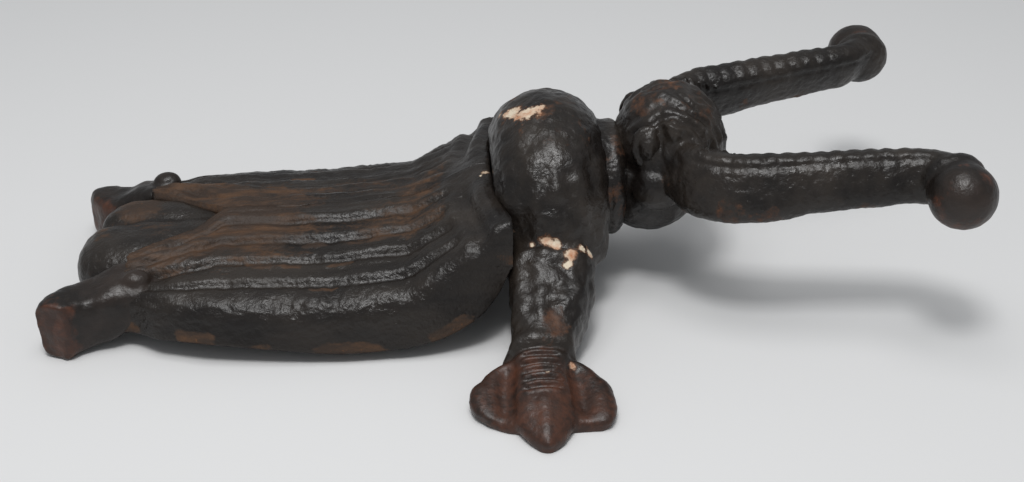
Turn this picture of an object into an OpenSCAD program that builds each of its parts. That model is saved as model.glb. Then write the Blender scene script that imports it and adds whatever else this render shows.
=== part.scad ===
// Beetle boot jack: one iron casting, divided at the grooves between its regions.
// +X runs towards the heel fork, +Y is the beetle's left, +Z is up and the feet stand on z = 0.
// The modules work from the plane where the wings meet the thorax, and place() centres the whole.

/* [Thorax] */
// Length of the thorax along X
thorax_len = 34.5; // [28:0.5:42]
// Radius of the thorax at the top of its dome
thorax_r = 35; // [28:0.5:40]
// Height of the axis that the dome is turned about
thorax_axis_z = 26; // [22:0.5:32]
// Height of the open lower rim of the thorax
thorax_rim_z = 18; // [10:0.5:22]
// Wall of the hollow castings
wall = 6; // [4:0.25:8]

/* [Neck and head] */
// Length of the collar between thorax and head
collar_len = 4.5; // [3:0.25:8]
// Radius of the collar
collar_r = 18.5; // [15:0.5:20]
// Radius of the round back of the head
head_r = 20; // [17:0.5:24]
// Height of the centre of the head
head_z = 44; // [41:0.5:49]
// Radius of the face, in front of the head
face_r = 16; // [13:0.5:19]
// How far the face stands ahead of the head
face_step = 8; // [4:0.5:12]
// Radius of the throat under the head
throat_r = 17; // [14:0.5:19]
// Height of the centre of the throat
throat_z = 34; // [31:0.5:38]
// Radius of the eye bosses
eye_r = 5; // [4:0.25:7]

/* [Heel fork] */
// Half the distance between the horns where they leave the head, on their centre lines
fork_half = 34; // [30:0.5:42]
// Angle that each horn splays out
splay = 8.5; // [4:0.5:14]
// Angle that each horn rises
rise = 5; // [0:0.5:9]
// Height of the horns' centre lines where they leave the head
horn_z = 47; // [42:0.5:52]
// Length of the straight run of each horn
horn_run = 44; // [30:0.5:60]
// Half the thickness of a horn
horn_half_t = 5.5; // [4:0.25:7]
// Height of a horn's section
horn_h = 18; // [14:0.5:22]
// Lean of the section, top inwards
horn_lean = 24; // [10:1:35]
// Radius of the bend where a horn leaves the head
root_bend_r = 22; // [18:0.5:28]
// Angle of the bend where a horn leaves the head
root_bend = 72; // [65:1:85]
// Radius of the curl at the tip
curl_r = 14; // [11:0.5:18]
// Angle of the curl at the tip
curl = 75; // [45:1:88]
// Radius of the ball at the tip
ball_r = 9.5; // [8:0.25:12]
// Number of notches along the top of each horn
notches = 10; // [4:1:14]

/* [Front legs and feet] */
// Distance of the front feet ahead of the wing plane
leg_x = 10.5; // [8:0.5:14]
// Distance from the middle plane to each ankle
ankle_y = 62; // [54:0.5:72]
// How far the root of a leg lies ahead of its foot
leg_lead = 8.5; // [0:0.5:10]
// Half the width of a leg at the thorax, measured to its edge
leg_half_root = 12.5; // [9:0.5:14]
// Half the width of a leg at the ankle, measured to its edge
leg_half_ankle = 9.5; // [7:0.5:11]
// Height of the top of the leg at the thorax
leg_root_top = 31; // [26:0.5:34]
// Height of the top of the leg at the ankle
ankle_top = 13; // [11:0.5:15]
// Length of a foot from the ankle to the tip of the middle toe
foot_len = 32; // [26:0.5:40]
// Half the spread of the two side lobes
foot_half = 20; // [16:0.5:24]
// Number of cross bars on the middle toe
toe_bars = 5; // [3:1:7]

/* [Wings] */
// Length of the wings behind the thorax
wing_len = 110; // [90:1:135]
// Half the width over both wings at their widest
wing_half = 49; // [44:0.5:60]
// Height of the wings at the front of the middle line
wing_front_z = 41; // [37:0.5:44]
// How far the front lip of the wings stands above the rest of their tops
lip_rise = 5; // [2:0.5:9]
// Height of the middle line along the back of the wings
ridge_z = 28; // [25:0.5:32]
// Slope of the wings' tops down to their outer sides
wing_fall = 12.5; // [9:0.5:14]
// Slope of the front lip down to its pointed shoulders
lip_fall = 7.5; // [5:0.5:9]
// Height of the open lower rim of the wings
wing_rim_z = 3.5; // [2:0.5:8]
// Ribs on each wing
ribs = 5; // [3:1:7]
// Height of the ribs
rib_h = 1; // [0.5:0.1:2]
// Width of the ribs
rib_w = 2.6; // [1.5:0.1:4]

/* [Tail and rear feet] */
// How far the tail lobe reaches behind the wings
tail_reach = 18.5; // [12:0.5:22]
// Radius of the lobe
tail_r = 11; // [9:0.5:12]
// Half the width between the wing tips, which the tail lobe fills
tail_half = 22; // [18:0.5:24]
// Length of the tail wedge between the wings
tail_len = 30; // [22:0.5:40]
// How far the rear feet reach behind the wings
rear_reach = 24; // [18:0.5:30]
// Height of the rear feet
rear_foot_h = 17; // [14:0.5:21]

/* [Hidden] */
$fn = 96;
smooth = 28;       // facets round a hull's own spheres
far = 400;         // longer than anything in the model

dome_steps = 18;
wing_steps = 24;
bulge_r = thorax_len / 2 + 0.5;

black_iron = "#2b2826";
rusty_iron = "#4b3527";

collar_x = thorax_len + collar_len;
head_x = collar_x + head_r * 0.52;
horn_x = head_x + face_step + face_r;
face_lift = 1;          // how far the lowest point of the face stands above that of the head

// Each eye nestles between the head and the back of the horn's root bend
eye_over_horn = 6;      // height of an eye above the horns' centre lines
eye_sink = 0.485;       // how far an eye's centre lies inside the head's surface
eye_bite = 2.831;       // how far an eye runs into the back of the horn's bend
eye_z = horn_z + eye_over_horn;
eye_from_head = sqrt(pow(head_r - eye_sink, 2) - pow(eye_z - head_z, 2));
eye_from_bend = root_bend_r + horn_half_t + eye_r - eye_bite;
bend_middle = [horn_x + root_bend_r * sin(splay), fork_half - root_bend_r * cos(splay)];
collar_z = throat_z;
lobe_share = 0.36;      // share of a foot's length at which its side lobes are centred
shoulder_y = wing_half - 11;
tip_y = tail_half + 14;
rear_y = tip_y + 0.5;
rear_post_r = 6;
rear_x = -wing_len - rear_reach + rear_post_r;
horn_core = horn_h / 2 - horn_half_t;

// The horn's tip in its own frame, and then in the casting's
curl_end = [horn_run + curl_r * sin(curl), curl_r * (1 - cos(curl))];
ball_x = horn_x + curl_end.x * cos(rise) * cos(splay) - curl_end.y * sin(splay);
front_end = ball_x + ball_r;
back_end = wing_len + rear_reach;
centre_shift = (back_end - front_end) / 2;

module place() {
    translate([centre_shift, 0, 0]) children();
}

// The right-hand copy of a left-hand region
module other_side() {
    mirror([0, 1, 0]) children();
}

// The point at these distances from p and from q, on the left of the line from p to q
function place_between(p, q, from_p, from_q) =
    let (apart = norm(q - p),
         towards = (q - p) / apart,
         along = (pow(from_p, 2) - pow(from_q, 2) + pow(apart, 2)) / (2 * apart),
         aside = sqrt(pow(from_p, 2) - pow(along, 2)))
        p + along * towards + aside * [-towards.y, towards.x];

// Keeps what lies between two values of x
module between_x(low, high) {
    intersection() {
        children();
        translate([low, -far / 2, -far / 2]) cube([high - low, far, far]);
    }
}

// Keeps what lies above a height
module above(z) {
    intersection() {
        children();
        translate([-far / 2, -far / 2, z]) cube([far, far, far]);
    }
}

// ---- thorax ----

// Radius of the dome at a distance x from the wing plane: a round bulge on a core
function dome_r(x) = thorax_r - bulge_r + sqrt(pow(bulge_r, 2) - pow(x - thorax_len / 2, 2));

// Turned form of the thorax, or its hollow when inset is the wall
module thorax_form(inset = 0) {
    low = inset;
    high = thorax_len - inset;
    translate([0, 0, thorax_axis_z])
        rotate([0, 90, 0])
            rotate_extrude()
                polygon(concat([[0, low]],
                               [for (i = [0 : dome_steps])
                                   let (x = low + (high - low) * i / dome_steps) [dome_r(x) - inset, x]],
                               [[0, high]]));
}

module thorax() {
    color(black_iron) place()
        above(thorax_rim_z)
            difference() {
                thorax_form();
                thorax_form(wall);
            }
}

// ---- neck and head ----

module neck_collar() {
    color(black_iron) place()
        translate([thorax_len, 0, collar_z])
            rotate([0, 90, 0]) cylinder(r = collar_r, h = collar_len);
}

module head_form() {
    translate([head_x, 0, head_z]) sphere(head_r);
    translate([head_x + face_step, 0, head_z - head_r + face_r + face_lift]) sphere(face_r);
    translate([head_x, 0, throat_z]) sphere(throat_r);
}

module head() {
    color(black_iron) place()
        between_x(collar_x, far) head_form();
}

module left_eye_form() {
    place = place_between([head_x, 0], bend_middle, eye_from_head, eye_from_bend);
    translate([place.x, place.y, eye_z]) sphere(eye_r);
}

module left_eye() {
    color(black_iron) place()
        difference() {
            left_eye_form();
            head_form();
        }
}

module right_eye() {
    other_side() left_eye();
}

// ---- heel fork ----

// Moves to the left horn's own frame: its straight run starts at the origin and runs along x
module at_left_horn() {
    translate([horn_x, fork_half, horn_z])
        rotate([0, 0, splay])
            rotate([0, -rise, 0])
                children();
}

// Section of a horn: a slot with round ends, leaning so that its top is nearer the fork
module horn_section() {
    rotate(horn_lean) {
        square([2 * horn_half_t, 2 * horn_core], center = true);
        translate([0, horn_core]) circle(horn_half_t);
        translate([0, -horn_core]) circle(horn_half_t);
    }
}

// Root bend, straight run and tip curl of the left horn
module horn_path() {
    translate([0, -root_bend_r, 0])
        rotate(90)
            rotate_extrude(angle = root_bend)
                translate([root_bend_r, 0]) horn_section();
    rotate([90, 0, 90])
        linear_extrude(horn_run) horn_section();
    translate([horn_run, curl_r, 0])
        rotate(-90)
            rotate_extrude(angle = curl)
                translate([curl_r, 0]) mirror([1, 0]) horn_section();
}

// Shallow notches across the top edge of the straight run
module horn_notches() {
    pitch = horn_run / notches;
    notch_r = 1.1;
    for (i = [0 : notches - 1])
        translate([(i + 0.5) * pitch, -sin(horn_lean) * horn_core, cos(horn_lean) * horn_core])
            rotate([90 + horn_lean / 2, 0, 0])
                translate([0, horn_half_t + 0.5, -2 * horn_half_t])
                    cylinder(r = notch_r, h = 4 * horn_half_t);
}

module left_ball_form() {
    at_left_horn()
        translate([curl_end.x, curl_end.y, 0]) sphere(ball_r);
}

module left_horn() {
    color(black_iron) place()
        difference() {
            at_left_horn()
                difference() {
                    horn_path();
                    horn_notches();
                }
            head_form();
            left_eye_form();
            left_ball_form();
        }
}

module right_horn() {
    other_side() left_horn();
}

module left_horn_ball() {
    color(rusty_iron) place() left_ball_form();
}

module right_horn_ball() {
    other_side() left_horn_ball();
}

// ---- front legs and feet ----

module left_leg_form() {
    root_r = 9;
    ankle_r = ankle_top / 2 - 0.5;
    hull() {
        for (side = [-1, 1]) {
            translate([leg_x + leg_lead + side * (leg_half_root - root_r),
                       thorax_r - root_r,
                       leg_root_top - root_r])
                sphere(root_r, $fn = smooth);
            translate([leg_x + side * (leg_half_ankle - ankle_r), ankle_y + 1, ankle_top - ankle_r])
                sphere(ankle_r, $fn = smooth);
        }
    }
}

module left_front_leg() {
    color(black_iron) place()
        difference() {
            left_leg_form();
            thorax_form();
            translate([-far / 2, ankle_y, -far / 2]) cube(far);
        }
}

// Three lobes that slope down from the ankle to the floor
module left_foot_form() {
    ankle_low = 9;
    lobe_r = 8;
    lobe_y = ankle_y + foot_len * lobe_share;
    toe_r = 6;
    for (side = [-1, 1])
        hull() {
            translate([leg_x, ankle_y, 0]) cylinder(r = leg_half_ankle - 1, h = ankle_low, $fn = smooth);
            translate([leg_x + side * (foot_half - lobe_r), lobe_y, 0])
                cylinder(r1 = lobe_r, r2 = lobe_r - 2.5, h = 5, $fn = smooth);
        }
    hull() {
        translate([leg_x, ankle_y, 0]) cylinder(r = leg_half_ankle, h = ankle_top - 1, $fn = smooth);
        translate([leg_x, lobe_y, 0]) cylinder(r = leg_half_ankle - 1, h = 7, $fn = smooth);
        translate([leg_x, ankle_y + foot_len - toe_r, 0]) cylinder(r = toe_r, h = 3, $fn = smooth);
    }
}

// Cross bars like the rungs of a ladder, set into the slope of the middle toe
module left_toe_bars() {
    pitch = foot_len * lobe_share / toe_bars;
    drop = (ankle_top - 8) / toe_bars;
    bar_r = 1.1;
    for (i = [0 : toe_bars - 1])
        translate([leg_x - leg_half_ankle * 0.55,
                   ankle_y + (i + 0.7) * pitch,
                   ankle_top - 1 - (i + 0.7) * drop])
            rotate([0, 90, 0]) cylinder(r = bar_r, h = leg_half_ankle * 1.1);
}

module left_front_foot() {
    color(rusty_iron) place()
        difference() {
            union() {
                left_foot_form();
                left_toe_bars();
            }
            translate([-far / 2, ankle_y - far, -far / 2]) cube(far);
        }
}

module right_front_leg() {
    other_side() left_front_leg();
}

module right_front_foot() {
    other_side() left_front_foot();
}

// ---- wings ----

// Half width of the left wing at x: full in the middle, drawn in to the shoulder and the tip
function wing_y(x) =
    let (middle = -wing_len * 0.45)
        x > middle
            ? wing_half - (wing_half - shoulder_y) * pow(1 - x / middle, 2.5)
            : tip_y + (wing_half - tip_y) * (1 + cos(180 * (x - middle) / (-wing_len - middle))) / 2;

// Plan of the left wing, or of its hollow when inset is the wall
module left_wing_plan(inset = 0) {
    front = -inset;
    back = -wing_len + inset;
    linear_extrude(far)
        polygon(concat([[front, 0]],
                       [for (i = [0 : wing_steps])
                           let (x = front + (back - front) * i / wing_steps) [x, wing_y(x) - inset]],
                       [[back, 0]]));
}

// All that lies under a profile drawn along the middle line, and falls off to the left
module under_profile(profile, fall, lift = 0) {
    rotate([-fall, 0, 0])
        translate([0, far / 2, lift])
            rotate([90, 0, 0])
                linear_extrude(far)
                    polygon(concat([[0, -far]], profile, [[-wing_len - 1, -far]]));
}

module under_wing_top(lift = 0) {
    under_profile([[0, wing_front_z - lip_rise],
                   [-wing_len * 0.11, ridge_z + 5.5],
                   [-wing_len * 0.27, ridge_z + 2],
                   [-wing_len * 0.55, ridge_z],
                   [-wing_len * 0.82, ridge_z + 0.5],
                   [-wing_len - 1, ridge_z + 2]], wing_fall, lift);
}

// Lip that lifts the front of the wing to its inner corner and its pointed shoulder
module under_wing_lip() {
    under_profile([[0, wing_front_z],
                   [-3, wing_front_z],
                   [-wing_len * 0.2, ridge_z + 1],
                   [-wing_len * 0.2, ridge_z - 6],
                   [-wing_len - 1, ridge_z - 6]], lip_fall);
}

// Strips in plan that run together towards the tip
module left_wing_ribs() {
    for (i = [1 : ribs]) {
        share = (i - 0.4) / ribs;
        front = [-wing_len * 0.12, share * shoulder_y];
        back = [-wing_len + tail_len * (1 - share), share * tip_y];
        translate([front.x, front.y, wing_rim_z])
            rotate(atan2(back.y - front.y, back.x - front.x))
                translate([0, -rib_w / 2, 0]) cube([norm(back - front), rib_w, far]);
    }
}

// Where the lower rim rises to the thorax, so that the front legs stand free
module under_wing_front() {
    rotate([90, 0, 0])
        linear_extrude(far, center = true)
            polygon([[-wing_len * 0.2, wing_rim_z], [1, thorax_rim_z + 2], [1, -1], [-wing_len * 0.2, -1]]);
}

// Wedge between the wing tips, which belongs to the tail
module tail_wedge() {
    linear_extrude(far, center = true)
        polygon([[-wing_len + tail_len, 0],
                 [-wing_len, tail_half],
                 [-far, tail_half],
                 [-far, -tail_half],
                 [-wing_len, -tail_half]]);
}

module left_wing() {
    color(black_iron) place()
        difference() {
            intersection() {
                above(wing_rim_z) left_wing_plan();
                union() {
                    under_wing_top();
                    under_wing_lip();
                    intersection() {
                        left_wing_ribs();
                        under_wing_top(rib_h);
                    }
                }
            }
            intersection() {
                left_wing_plan(wall);
                under_wing_top(-wall);
            }
            under_wing_front();
            tail_wedge();
        }
}

module right_wing() {
    other_side() left_wing();
}

// ---- tail and rear feet ----

module tail_lobe() {
    lobe_spread = 7;
    nose_r = 9;
    color(rusty_iron) place()
        intersection() {
            hull() {
                for (side = [-1, 1])
                    translate([-wing_len - tail_reach + tail_r, side * lobe_spread, tail_r + 1])
                        sphere(tail_r, $fn = smooth);
                translate([-wing_len + tail_len - 4, 0, ridge_z - 13]) sphere(nose_r, $fn = smooth);
                translate([-wing_len, 0, 12])
                    rotate([90, 0, 0]) cylinder(r = nose_r, h = 2 * tail_half, center = true);
            }
            tail_wedge();
        }
}

module left_rear_foot() {
    neck_r = 8;
    color(rusty_iron) place()
        difference() {
            hull() {
                translate([rear_x, rear_y, 0]) cylinder(r = rear_post_r - 1, h = rear_foot_h, $fn = smooth);
                translate([rear_x, rear_y, 1]) cylinder(r = rear_post_r, h = rear_foot_h - 2, $fn = smooth);
                translate([-wing_len, tip_y - 2, rear_foot_h + 3 - neck_r]) sphere(neck_r, $fn = smooth);
            }
            translate([-wing_len, -far / 2, -far / 2]) cube(far);
            tail_wedge();
        }
}

module right_rear_foot() {
    other_side() left_rear_foot();
}

head();
left_eye();
right_eye();
neck_collar();
thorax();
left_horn();
right_horn();
left_horn_ball();
right_horn_ball();
left_front_leg();
right_front_leg();
left_front_foot();
right_front_foot();
left_wing();
right_wing();
tail_lobe();
left_rear_foot();
right_rear_foot();
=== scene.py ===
"""Beetle boot jack, a one-piece iron casting: its sculpted surfaces and weathered paint.

The casting is modelled region by region in millimetres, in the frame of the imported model, and each region is
cut into the pieces that stand for its nodes. Left is +Y, the horns point along +X and the floor is z = 0.
The numbers in the relief and rust formulas are places, widths and heights on the casting in millimetres,
and those in the ring tables are the rings' places and half widths.
"""

import logging
import math
from dataclasses import dataclass
from enum import Enum
from typing import Callable, Iterable, Sequence

import bmesh
import bpy
from mathutils import Matrix, Vector, noise


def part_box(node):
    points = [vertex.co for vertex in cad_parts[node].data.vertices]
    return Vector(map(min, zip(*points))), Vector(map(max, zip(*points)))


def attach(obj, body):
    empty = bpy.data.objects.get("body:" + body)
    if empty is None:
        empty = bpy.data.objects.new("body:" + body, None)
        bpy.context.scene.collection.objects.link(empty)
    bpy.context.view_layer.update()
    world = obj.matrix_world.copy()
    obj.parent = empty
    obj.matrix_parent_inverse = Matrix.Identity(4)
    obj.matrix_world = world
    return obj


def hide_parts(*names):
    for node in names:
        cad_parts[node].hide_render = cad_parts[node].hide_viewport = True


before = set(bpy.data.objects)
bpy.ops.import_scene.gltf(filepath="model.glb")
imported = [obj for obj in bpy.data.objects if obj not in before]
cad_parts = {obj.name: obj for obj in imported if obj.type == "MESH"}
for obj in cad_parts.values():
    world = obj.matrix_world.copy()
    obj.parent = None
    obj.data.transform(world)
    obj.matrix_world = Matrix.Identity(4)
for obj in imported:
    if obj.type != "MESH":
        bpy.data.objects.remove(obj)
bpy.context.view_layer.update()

logging.basicConfig(level=logging.INFO, format="%(message)s")
LOG = logging.getLogger("boot_jack")

MM = 0.001
FUSE = 1e-4
SIDES = {"left": 1, "right": -1}


class Slot(Enum):
    """The material slots of the pieces."""

    BLACK = "black_iron"
    WING = "wing_iron"
    RUSTY = "rusty_iron"


# ---- small sums ----


def clamp(value: float, low: float = 0.0, high: float = 1.0) -> float:
    """Holds a value between two limits."""
    return min(max(value, low), high)


def ease(low: float, high: float, value: float) -> float:
    """Rises smoothly from 0 at low to 1 at high; low may be the larger of the two."""
    share = clamp((value - low) / (high - low))
    return share * share * (3 - 2 * share)


def hump(value: float, middle: float, half_width: float) -> float:
    """A rounded hump, 1 at its middle and nearly 0 at twice its half width."""
    return math.exp(-(((value - middle) / half_width) ** 2))


def lumps(place: Vector, size: float, seed: float = 0.0) -> float:
    """Smooth random lumps of a size in mm, from about -1 to 1."""
    return noise.noise(Vector((place.x / size + seed, place.y / size - seed, place.z / size + 2 * seed)))


def mirrored(place: Vector, side: int) -> Vector:
    """A left-hand place, moved to the right when side is -1."""
    return Vector((place.x, place.y * side, place.z))


@dataclass(frozen=True)
class Course:
    """A size that changes smoothly along the casting, through (place, size) stations in rising order."""

    stations: tuple[tuple[float, float], ...]

    def at(self, place: float) -> float:
        """The size at a place.

        Args:
            place: Where along the casting, in mm.

        Returns:
            The size there, in mm, held level beyond the two end stations.
        """
        stops = self.stations
        if place <= stops[0][0]:
            return stops[0][1]
        if place >= stops[-1][0]:
            return stops[-1][1]
        k = next(i for i in range(len(stops) - 1) if place <= stops[i + 1][0])
        (a, fa), (b, fb) = stops[k], stops[k + 1]
        share = (place - a) / (b - a)
        slope_a, slope_b = self._slope(k), self._slope(k + 1)
        wide = b - a
        return (
            fa * (1 + 2 * share) * (1 - share) ** 2
            + slope_a * wide * share * (1 - share) ** 2
            + fb * share**2 * (3 - 2 * share)
            + slope_b * wide * share**2 * (share - 1)
        )

    def _slope(self, k: int) -> float:
        """Slope at station k, level at a turning point so that the course never overshoots."""
        stops = self.stations
        if k == 0 or k == len(stops) - 1:
            return 0.0
        before = (stops[k][1] - stops[k - 1][1]) / (stops[k][0] - stops[k - 1][0])
        after = (stops[k + 1][1] - stops[k][1]) / (stops[k + 1][0] - stops[k][0])
        return 0.0 if before * after <= 0 else 2 * before * after / (before + after)


@dataclass(frozen=True)
class NodeBox:
    """Box of a CAD node in mm."""

    low: Vector
    high: Vector

    @classmethod
    def of(cls, node: str) -> "NodeBox":
        """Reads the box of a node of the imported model."""
        low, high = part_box(node)
        return cls(Vector(low) / MM, Vector(high) / MM)

    @property
    def middle(self) -> Vector:
        """Centre of the box."""
        return (self.low + self.high) / 2


# ---- rough forms ----


def placed(name: str, data: bpy.types.ID) -> bpy.types.Object:
    """Puts a mesh, light or camera into the scene."""
    thing = bpy.data.objects.new(name, data)
    bpy.context.scene.collection.objects.link(thing)
    return thing


def as_mesh(name: str, form: bmesh.types.BMesh) -> bpy.types.Mesh:
    """Turns a form into a mesh and frees the form."""
    mesh = bpy.data.meshes.new(name)
    form.to_mesh(mesh)
    form.free()
    return mesh


@dataclass(frozen=True)
class Ring:
    """One ring of a drawn-out form.

    Attributes:
        middle: Centre of the ring.
        across: Half width, as a vector.
        up: Half height, as a vector.
        square: 2 for an ellipse, more for a section nearer a rectangle.
        run: Distance along the form, kept on its vertices.
    """

    middle: Vector
    across: Vector
    up: Vector
    square: float = 2.0
    run: float = 0.0

    def point(self, turn: float) -> Vector:
        """Point of the ring at an angle."""
        c, s = math.cos(turn), math.sin(turn)
        power = 2 / self.square
        return (
            self.middle
            + self.across * math.copysign(abs(c) ** power, c)
            + self.up * math.copysign(abs(s) ** power, s)
        )


def upright_ring(x: float, y: float, across: Vector, low: float, high: float, square: float) -> Ring:
    """A ring that stands upright between two heights.

    Args:
        x: Place of its middle along the casting.
        y: Place of its middle across the casting.
        across: Half width, as a vector.
        low: Height of its lowest point.
        high: Height of its highest point.
        square: 2 for an ellipse, more for a section nearer a rectangle.

    Returns:
        The ring.
    """
    return Ring(Vector((x, y, (low + high) / 2)), across, Vector((0, 0, (high - low) / 2)), square)


def drawn_form(rings: Sequence[Ring], sides: int = 48) -> bmesh.types.BMesh:
    """Draws a circle out through rings and closes both ends.

    Args:
        rings: The rings, in order.
        sides: Facets round a ring.

    Returns:
        A closed form with the vertex layers "turn" (angle) and "run" (distance along it).
    """
    form = bmesh.new()
    bmesh.ops.create_circle(form, cap_ends=False, segments=sides, radius=1.0)
    turn = form.verts.layers.float.new("turn")
    run = form.verts.layers.float.new("run")
    for vert in form.verts:
        vert[turn] = math.atan2(vert.co.y, vert.co.x)
    edges = form.edges[:]
    verts = form.verts[:]
    for i, ring in enumerate(rings):
        if i:
            grown = bmesh.ops.extrude_edge_only(form, edges=edges)["geom"]
            verts = [part for part in grown if isinstance(part, bmesh.types.BMVert)]
            edges = [part for part in grown if isinstance(part, bmesh.types.BMEdge)]
        for vert in verts:
            vert.co = ring.point(vert[turn])
            vert[run] = ring.run
    rims = [edge for edge in form.edges if edge.is_boundary]
    bmesh.ops.holes_fill(form, edges=rims, sides=0)
    bmesh.ops.recalc_face_normals(form, faces=form.faces)
    return form


def ball_form(middle: Vector, radii: Vector, tilt: float = 0.0) -> bmesh.types.BMesh:
    """A boss: a ball with three radii, tilted about the y axis.

    Args:
        middle: Its centre.
        radii: Half sizes along x, y and z before the tilt.
        tilt: Turn about y in radians.

    Returns:
        The closed form.
    """
    form = bmesh.new()
    place = Matrix.Translation(middle) @ Matrix.Rotation(tilt, 4, "Y") @ Matrix.Diagonal(radii.to_4d())
    bmesh.ops.create_icosphere(form, subdivisions=4, radius=1.0, matrix=place)
    return form


def turned_form(profile: Iterable[tuple[float, float]], axis_z: float, steps: int = 96) -> bmesh.types.BMesh:
    """Spins a profile about a lengthwise axis.

    Args:
        profile: (x, radius) points.
        axis_z: Height of the axis over the middle line.
        steps: Facets round the form.

    Returns:
        The spun surface, open or closed as its profile is.
    """
    form = bmesh.new()
    points = [form.verts.new((x, 0, axis_z + radius)) for x, radius in profile]
    edges = [form.edges.new(pair) for pair in zip(points, points[1:])]
    bmesh.ops.spin(
        form,
        geom=points + edges,
        cent=(0, 0, axis_z),
        axis=(1, 0, 0),
        dvec=(0, 0, 0),
        angle=math.tau,
        steps=steps,
        use_merge=True,
        use_duplicate=False,
    )
    bmesh.ops.remove_doubles(form, verts=form.verts, dist=FUSE)
    bmesh.ops.recalc_face_normals(form, faces=form.faces)
    return form


def other_side(form: bmesh.types.BMesh) -> bmesh.types.BMesh:
    """The right-hand copy of a left-hand form, its faces turned outwards again."""
    copy = form.copy()
    bmesh.ops.scale(copy, vec=(1, -1, 1), verts=copy.verts)
    bmesh.ops.reverse_faces(copy, faces=copy.faces)
    return copy


def on_side(forms: Iterable[bmesh.types.BMesh], side: int) -> list[bmesh.types.BMesh]:
    """Left-hand forms as they are for side 1, their right-hand copies for side -1."""
    return [form if side > 0 else other_side(form) for form in forms]


def joined(forms: Iterable[bmesh.types.BMesh]) -> bmesh.types.BMesh:
    """Puts forms into one mesh and frees them."""
    whole = bmesh.new()
    for form in forms:
        mesh = as_mesh("part", form)
        whole.from_mesh(mesh)
        bpy.data.meshes.remove(mesh)
    return whole


def run_together(forms: Iterable[bmesh.types.BMesh], grain: float, passes: int) -> bmesh.types.BMesh:
    """Runs overlapping closed forms together as the iron did in the mould, with soft inside corners.

    Args:
        forms: The closed forms, which are freed.
        grain: Spacing of the new surface, in mm.
        passes: How many times the surface is relaxed.

    Returns:
        One closed surface.
    """
    mesh = as_mesh("rough", joined(forms))
    holder = placed("rough", mesh)
    remesh = holder.modifiers.new("run_together", "REMESH")
    remesh.mode = "VOXEL"
    remesh.voxel_size = grain
    view = holder.evaluated_get(bpy.context.evaluated_depsgraph_get())
    cast = bmesh.new()
    cast.from_mesh(view.to_mesh())
    view.to_mesh_clear()
    bpy.data.objects.remove(holder)
    bpy.data.meshes.remove(mesh)
    relax(cast, passes)
    return cast


def relax(form: bmesh.types.BMesh, passes: int) -> None:
    """Smooths a surface a few times, half way to the neighbours' mean each time."""
    for _ in range(passes):
        bmesh.ops.smooth_vert(
            form, verts=form.verts, factor=0.5, use_axis_x=True, use_axis_y=True, use_axis_z=True
        )


def model_relief(form: bmesh.types.BMesh, relief: Callable[[Vector, Vector], float]) -> None:
    """Raises or sinks each point of a surface along its normal.

    Args:
        form: The surface.
        relief: Height in mm from a point and its normal.
    """
    form.normal_update()
    moves = [(vert, vert.normal * relief(vert.co, vert.normal)) for vert in form.verts]
    for vert, move in moves:
        vert.co += move


def stand_on_floor(form: bmesh.types.BMesh, flat: float = 0.35) -> None:
    """Grinds a foot flat at the floor."""
    for vert in form.verts:
        if vert.co.z < flat:
            vert.co.z = 0.0 if vert.co.z < 0 else vert.co.z * vert.co.z / flat


def cut_open(form: bmesh.types.BMesh, place: Vector, facing: Vector) -> None:
    """Cuts away what lies in front of a plane and leaves the cut open."""
    geometry = form.verts[:] + form.edges[:] + form.faces[:]
    bmesh.ops.bisect_plane(
        form, geom=geometry, dist=FUSE, plane_co=place, plane_no=facing, clear_outer=True
    )


def cut_off(form: bmesh.types.BMesh, place: Vector, facing: Vector) -> None:
    """Cuts away what lies in front of a plane and closes the cut.

    Args:
        form: The closed form.
        place: A point of the plane.
        facing: Its normal, which points at what is cut away.
    """
    cut_open(form, place, facing)
    rim = [edge for edge in form.edges if edge.is_boundary]
    if not rim:
        return
    caps = bmesh.ops.holes_fill(form, edges=rim, sides=0)["faces"]
    bmesh.ops.triangulate(form, faces=caps)
    for edge in rim:
        edge.smooth = False


def region_cut(form: bmesh.types.BMesh, planes: Iterable[tuple[Vector, Vector]]) -> bmesh.types.BMesh:
    """A copy of a form, with what lies in front of each plane cut away."""
    part = form.copy()
    for place, facing in planes:
        cut_off(part, place, facing)
    return part


# ---- weathering that follows the shape ----


@dataclass(frozen=True)
class Chip:
    """A spot where the paint has flaked to the pale filler under it."""

    middle: Vector
    radius: float

    def cover(self, place: Vector) -> float:
        """1 in the middle of the spot, 0.5 at its edge and 0 at twice its radius."""
        return clamp(1 - (place - self.middle).length / (2 * self.radius))


@dataclass(frozen=True)
class Wear:
    """How weather and use have marked a region.

    Attributes:
        rust: Share of rust at a point with a normal.
        chips: Where the paint has flaked.
    """

    rust: Callable[[Vector, Vector], float]
    chips: tuple[Chip, ...] = ()

    def mark(self, form: bmesh.types.BMesh) -> None:
        """Writes the point attributes "rust" and "chip"."""
        rust = form.verts.layers.float.new("rust")
        chip = form.verts.layers.float.new("chip")
        form.normal_update()
        for vert in form.verts:
            vert[rust] = clamp(self.rust(vert.co, vert.normal))
            vert[chip] = max((spot.cover(vert.co) for spot in self.chips), default=0.0)


# ---- finishes ----


def linear(colour: str) -> tuple[float, float, float, float]:
    """Turns an sRGB hex colour to linear light."""
    parts = [int(colour[i:i + 2], 16) / 255 for i in (1, 3, 5)]
    return (*(c / 12.92 if c <= 0.04045 else ((c + 0.055) / 1.055) ** 2.4 for c in parts), 1.0)


def per_size(size: float) -> float:
    """Texture scale that gives features of a size in mm on object coordinates."""
    return 1 / (size * MM)


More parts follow.
